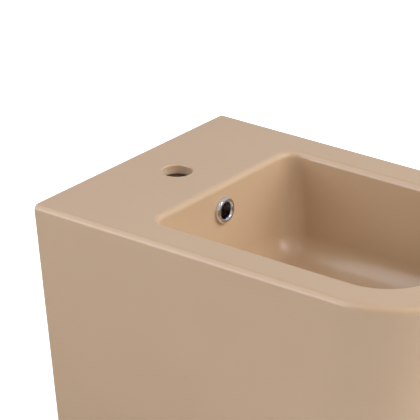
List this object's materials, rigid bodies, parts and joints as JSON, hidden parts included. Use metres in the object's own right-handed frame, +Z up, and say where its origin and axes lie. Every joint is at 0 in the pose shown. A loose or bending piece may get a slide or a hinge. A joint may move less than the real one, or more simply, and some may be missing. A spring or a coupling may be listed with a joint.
{
  "type": "wall-hung bidet",
  "caption": "Squared wall-hung bidet in satin china: flat tap deck with a tap hole, rectangular bowl, overflow ring, push-open waste and concealed wall fixings.",
  "frame": {"origin": "on the wall plane, midway between the two fixing studs", "axes": "+Z up, the wall towards +Y and the front towards -Y, +X to the right seen from the front"},
  "size_m": [0.3482, 0.5627, 0.3],
  "materials": {
    "glazed_china": "satin",
    "chromed_trim": "polished",
    "chromed_brass": "polished",
    "plain_brass": "satin",
    "zinc_steel": "satin",
    "spring_steel": "satin",
    "black_rubber": "matte",
    "grey_plastic": "matte",
    "white_plastic": "satin"
  },
  "bodies": {
    "body": {"bidet_body": "glazed_china", "overflow_trim_ring": "chromed_trim", "overflow_insert": "grey_plastic", "waste_body": "chromed_brass", "waste_flange_gasket": "black_rubber", "waste_cone_seal": "black_rubber", "waste_slip_washer": "zinc_steel", "waste_backnut": "plain_brass", "latch_housing": "chromed_brass", "latch_cover": "plain_brass", "latch_spring": "spring_steel", "latch_locknut": "plain_brass", "wall_stud_left": "zinc_steel", "stud_sleeve_left": "white_plastic", "stud_washer_left": "zinc_steel", "stud_nut_left": "zinc_steel", "nut_cap_left": "white_plastic", "wall_stud_right": "zinc_steel", "stud_sleeve_right": "white_plastic", "stud_washer_right": "zinc_steel", "stud_nut_right": "zinc_steel", "nut_cap_right": "white_plastic"},
    "plug": {"plug_cap": "chromed_brass", "plug_seal": "black_rubber", "plug_spindle": "plain_brass"},
    "rotor": {"latch_rotor": "white_plastic"}
  },
  "joints": [
    {"name": "plug_slide", "type": "slide", "parent": "body", "child": "plug", "axis": [0, 0, 1], "range_m": [-0.008, 0], "stiffness_N_per_m": 900, "springref_m": 0.012, "deforming": ["latch_spring"]},
    {"name": "latch_turn", "type": "hinge", "parent": "plug", "child": "rotor", "pos_m": [0, -0.285, -0.06], "axis": [0, 0, 1], "range_deg": [0, 45]}
  ],
  "couplings": [
    {"joint": "latch_turn", "follows": "plug_slide", "rad_per_m": -98}
  ]
}
